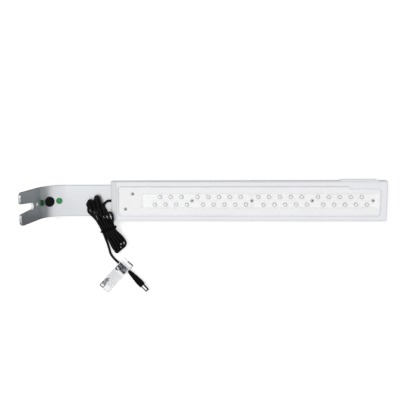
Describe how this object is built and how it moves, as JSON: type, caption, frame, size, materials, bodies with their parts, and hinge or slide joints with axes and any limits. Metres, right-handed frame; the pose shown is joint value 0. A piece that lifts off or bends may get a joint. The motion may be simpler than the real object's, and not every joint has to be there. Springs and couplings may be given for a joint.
{
  "type": "led aquarium light",
  "caption": "Slim aquarium lamp: aluminium light bar with two zigzag rows of LEDs under a clear cover, bent arm with a forked end, side push bar and tied low-voltage cable.",
  "frame": {"origin": "centre of the outer face of the top cover, which is the flat face the lamp lies on here", "axes": "+X along the lamp away from the arm, +Y towards the side with the push bar, +Z the way the light shines. Over a tank the lamp is used turned half a turn about X, so +Z points down at the water."},
  "size_m": [0.4537, 0.1554, 0.0774],
  "materials": {
    "shell_aluminium": "satin anodised",
    "white_plastic": "smooth moulded",
    "rim_plastic": "smooth moulded",
    "clear_acrylic": "clear polished sheet",
    "foam_seal": "pale foam bead",
    "spreader_aluminium": "mill finish",
    "board_white": "white solder mask",
    "led_body": "pale moulded base",
    "led_clear": "clear epoxy",
    "steel": "plated screw",
    "solder": "tinned link",
    "arm_aluminium": "satin anodised plate",
    "black_rubber": "soft matt rubber",
    "green_pad": "soft green pad",
    "switch_plastic": "black moulded switch",
    "plunger_plastic": "orange plunger",
    "board_green": "green solder mask",
    "wire_red": "insulated wire",
    "clamp_plastic": "grey moulded clamp",
    "cable_black": "satin PVC jacket",
    "tie_black": "coated wire tie",
    "boot_black": "moulded PVC",
    "plug_nickel": "nickel plated",
    "plug_brass": "brass",
    "label_film": "laminated paper label"
  },
  "bodies": {
    "lamp": {"top_shell": "shell_aluminium", "end_cap": "white_plastic", "inner_tray": "white_plastic", "underside_frame": "rim_plastic", "light_cover": "clear_acrylic", "cover_gasket": "foam_seal", "heat_spreader": "spreader_aluminium", "led_board_left": "board_white", "led_board_right": "board_white", "led_bases": "led_body", "led_domes": "led_clear", "board_screws": "steel", "board_link": "solder", "arm": "arm_aluminium", "arm_screws": "steel", "rest_pad": "black_rubber", "grip_dots": "green_pad", "switch_body": "switch_plastic", "switch_board": "board_green", "switch_wires": "wire_red", "cable_grommet": "black_rubber", "cable_clamp": "clamp_plastic", "lead_wires": "wire_red", "cable": "cable_black", "cable_tie": "tie_black", "plug_boot": "boot_black", "plug_sleeve": "plug_nickel", "plug_insulator": "boot_black", "plug_contact": "plug_brass", "label_flag": "label_film"},
    "button": {"power_button": "white_plastic", "switch_plunger": "plunger_plastic"}
  },
  "joints": [
    {"name": "power_button_press", "type": "slide", "parent": "lamp", "child": "button", "axis": [0, -1, 0], "range_m": [0, 0.001]}
  ]
}
